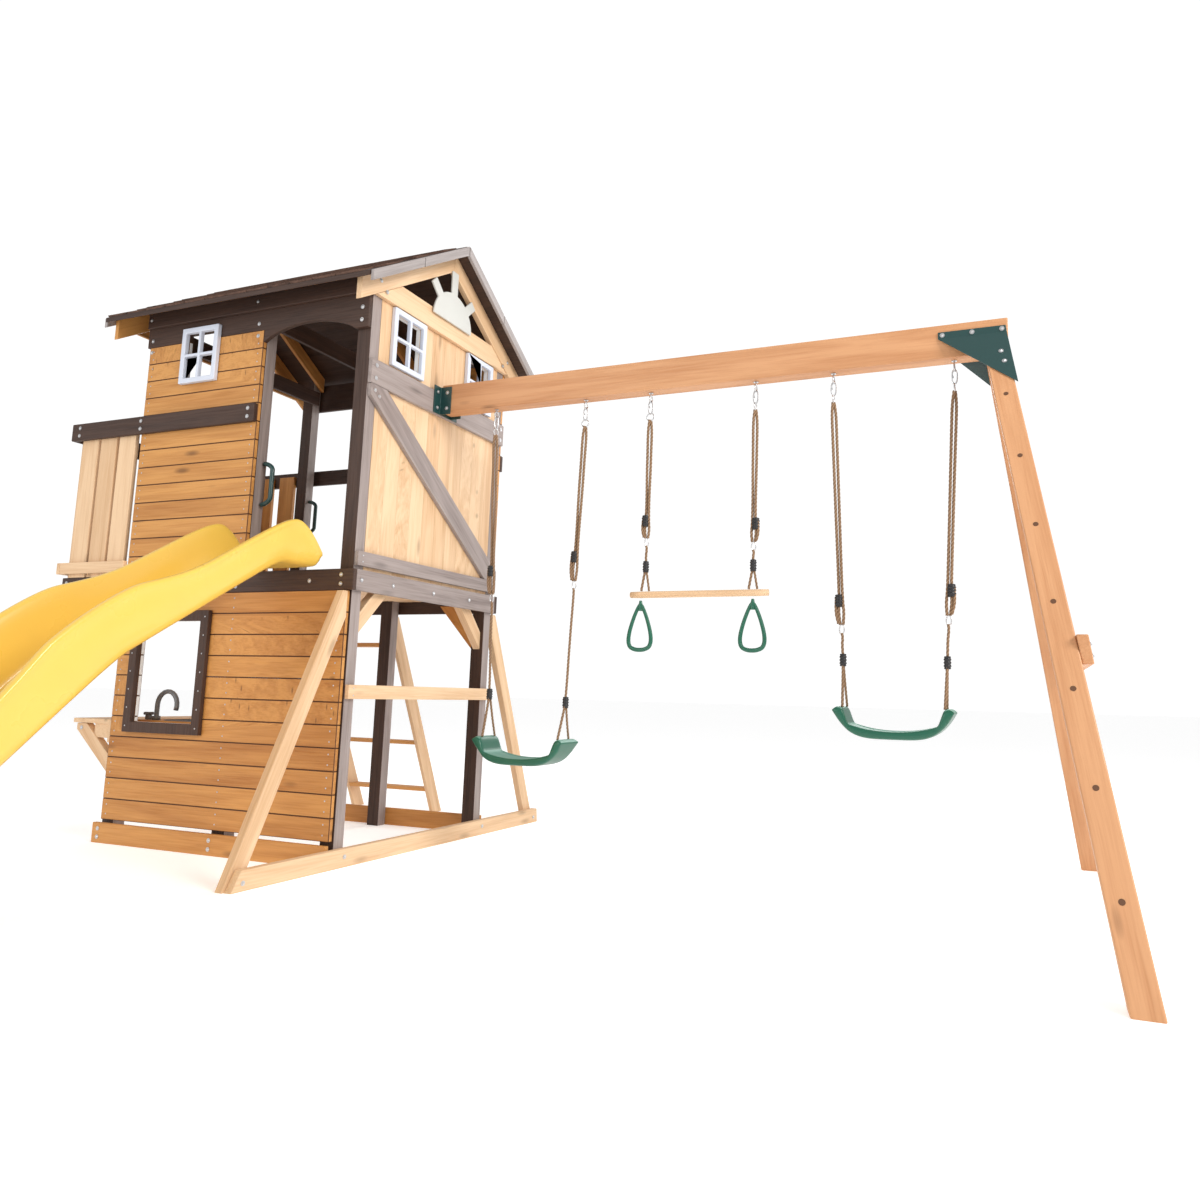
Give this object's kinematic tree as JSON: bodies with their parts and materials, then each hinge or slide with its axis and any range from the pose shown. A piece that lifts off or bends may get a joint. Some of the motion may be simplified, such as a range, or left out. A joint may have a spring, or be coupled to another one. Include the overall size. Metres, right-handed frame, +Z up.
{
  "type": "playhouse swing set",
  "caption": "Wooden outdoor playhouse on a raised deck with balcony, ladder and yellow wave slide, joined by a long beam to a leaning A-frame with plank swings and a trapeze.",
  "frame": {"origin": "centre of the whole set's footprint box, on the ground", "axes": "+X along the swing beam away from the tower, +Y towards the ladder side, -Y is the slide side, +Z up"},
  "size_m": [4.868, 3.796, 3.018],
  "materials": {
    "beam_timber": "satin",
    "cedar_siding": "satin stain",
    "dark_stained_wood": "satin stain",
    "green_coated_steel": "powder coat",
    "green_plastic": "satin",
    "grey_plastic": "satin",
    "light_timber": "satin",
    "roof_shingle": "matte",
    "rope": "twisted rope",
    "walnut_stained_wood": "satin stain",
    "white_plastic": "satin",
    "yellow_plastic": "gloss",
    "zinc_steel": "zinc plated"
  },
  "bodies": {
    "frame": {"beam_ground": "light_timber", "beam_swing": "beam_timber", "board_ground_front": "light_timber", "board_ground_rear": "light_timber", "brace_side": "walnut_stained_wood", "bracket_beam": "green_coated_steel", "counter": "light_timber", "crossbar": "beam_timber", "deck_floor": "light_timber", "deck_rim": "dark_stained_wood", "eye_left_a": "zinc_steel", "eye_left_b": "zinc_steel", "eye_right_a": "zinc_steel", "eye_right_b": "zinc_steel", "eye_trapeze_a": "zinc_steel", "eye_trapeze_b": "zinc_steel", "fence_balcony": "light_timber", "frame_serving_window": "dark_stained_wood", "gable_left": "light_timber", "gable_right": "light_timber", "gusset_front": "green_coated_steel", "gusset_rear": "green_coated_steel", "header_front": "dark_stained_wood", "ladder": "light_timber", "leg_front": "beam_timber", "leg_rear": "beam_timber", "post_front_left": "dark_stained_wood", "post_front_middle": "dark_stained_wood", "post_front_right": "dark_stained_wood", "post_rear_left": "dark_stained_wood", "post_rear_middle": "dark_stained_wood", "post_rear_right": "dark_stained_wood", "rail_cross": "light_timber", "rail_top": "dark_stained_wood", "roof_front": "roof_shingle", "roof_rear": "roof_shingle", "shelf_end": "light_timber", "slide": "yellow_plastic", "strut_front": "light_timber", "strut_rear": "light_timber", "sun_panel": "white_plastic", "wall_front_lower": "cedar_siding", "wall_front_upper": "cedar_siding", "wall_rear": "cedar_siding", "wall_side": "light_timber", "window_front": "white_plastic", "window_side_a": "white_plastic", "window_side_b": "white_plastic"},
    "swing_left": {"rope_left_a": "rope", "rope_left_b": "rope", "seat_left": "green_plastic"},
    "trapeze": {"rope_trapeze_a": "rope", "rope_trapeze_b": "rope", "bar_trapeze": "light_timber"},
    "grip_a": {"ring_a": "green_plastic"},
    "grip_b": {"ring_b": "green_plastic"},
    "swing_right": {"rope_right_a": "rope", "rope_right_b": "rope", "seat_right": "green_plastic"},
    "tap_spout": {"tap": "grey_plastic"}
  },
  "joints": [
    {"name": "swing_left_swing", "type": "hinge", "parent": "frame", "child": "swing_left", "pos_m": [-0.013, 0.724, 2.0852], "axis": [1, 0, 0], "range_deg": [-60, 60]},
    {"name": "trapeze_swing", "type": "hinge", "parent": "frame", "child": "trapeze", "pos_m": [0.813, 0.724, 2.0852], "axis": [1, 0, 0], "range_deg": [-60, 60]},
    {"name": "swing_right_swing", "type": "hinge", "parent": "frame", "child": "swing_right", "pos_m": [1.649, 0.724, 2.0852], "axis": [1, 0, 0], "range_deg": [-60, 60]},
    {"name": "grip_a_swing", "type": "hinge", "parent": "trapeze", "child": "grip_a", "pos_m": [0.544, 0.724, 1.19], "axis": [1, 0, 0], "range_deg": [-60, 60]},
    {"name": "grip_b_swing", "type": "hinge", "parent": "trapeze", "child": "grip_b", "pos_m": [1.062, 0.724, 1.19], "axis": [1, 0, 0], "range_deg": [-60, 60]},
    {"name": "tap_swivel", "type": "hinge", "parent": "frame", "child": "tap_spout", "pos_m": [-1.823, 0.294, 0.568], "axis": [0, 0, 1], "range_deg": [-20, 80]}
  ]
}
